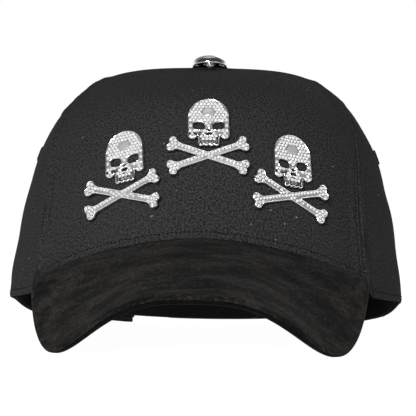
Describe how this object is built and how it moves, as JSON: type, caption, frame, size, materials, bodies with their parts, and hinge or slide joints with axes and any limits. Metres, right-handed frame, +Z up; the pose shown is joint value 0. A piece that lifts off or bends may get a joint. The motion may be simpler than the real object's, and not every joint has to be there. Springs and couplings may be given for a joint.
{
  "type": "cap",
  "caption": "Structured black cap with a curved suede visor, jewelled skull-and-crossbones charms on the front, a metal top button and an open arch closed by snap straps.",
  "frame": {"origin": "on the floor under the middle of the cap's box, with the cap standing on its visor corners and the back of its rim", "axes": "+Z up, -Y towards the visor's free edge, +X towards the wearer's left"},
  "size_m": [0.1806, 0.2611, 0.1316],
  "materials": {
    "panel_cloth": "cotton twill, fine diagonal weave",
    "buckram": "stiff open-weave backing",
    "seam_tape": "woven tape",
    "binding_tape": "folded woven tape",
    "sweatband_cloth": "brushed cotton",
    "label_cloth": "blank woven label",
    "visor_suede": "brushed suede nap",
    "board_plastic": "moulded sheet",
    "strap_plastic": "moulded, fine grain",
    "eyelet_thread": "stitched",
    "charm_metal": "silver plate set with clear stones",
    "polished_plate": "mirror polish, unmarked",
    "fastener_metal": "plain",
    "button_chrome": "mirror polish"
  },
  "bodies": {
    "cap": {"front_panel": "panel_cloth", "left_side_panel": "panel_cloth", "right_side_panel": "panel_cloth", "left_back_panel": "panel_cloth", "right_back_panel": "panel_cloth", "front_stiffener": "buckram", "left_front_seam_tape": "seam_tape", "right_front_seam_tape": "seam_tape", "left_side_seam_tape": "seam_tape", "right_side_seam_tape": "seam_tape", "back_seam_tape": "seam_tape", "sweatband": "sweatband_cloth", "inside_label": "label_cloth", "visor_top_cover": "visor_suede", "visor_board": "board_plastic", "visor_under_cover": "visor_suede", "visor_edge_piping": "visor_suede", "top_button": "button_chrome", "button_rivet": "fastener_metal", "button_washer": "fastener_metal", "eyelet_rings": "eyelet_thread", "arch_binding": "binding_tape", "hole_strap_tab": "strap_plastic", "peg_strap_tab": "strap_plastic", "left_skull_plate": "charm_metal", "left_bones_plate": "charm_metal", "left_brow_plate": "polished_plate", "centre_skull_plate": "charm_metal", "centre_bones_plate": "charm_metal", "centre_brow_plate": "polished_plate", "right_skull_plate": "charm_metal", "right_bones_plate": "charm_metal", "right_brow_plate": "polished_plate", "charm_posts": "fastener_metal", "charm_clasps": "fastener_metal"},
    "outer_strap": {"hole_strap": "strap_plastic"},
    "inner_strap": {"peg_strap": "strap_plastic"}
  },
  "joints": [
    {"name": "outer_strap_bend", "type": "hinge", "parent": "cap", "child": "outer_strap", "pos_m": [0.03271, 0.12072, 0.01271], "axis": [0.0345, -0.0896, -0.9954], "range_deg": [0, 70], "stiffness_Nm_per_rad": 0.02},
    {"name": "inner_strap_bend", "type": "hinge", "parent": "cap", "child": "inner_strap", "pos_m": [-0.03213, 0.11925, 0.01298], "axis": [-0.0345, -0.0896, -0.9954], "range_deg": [0, 40], "stiffness_Nm_per_rad": 0.02}
  ]
}
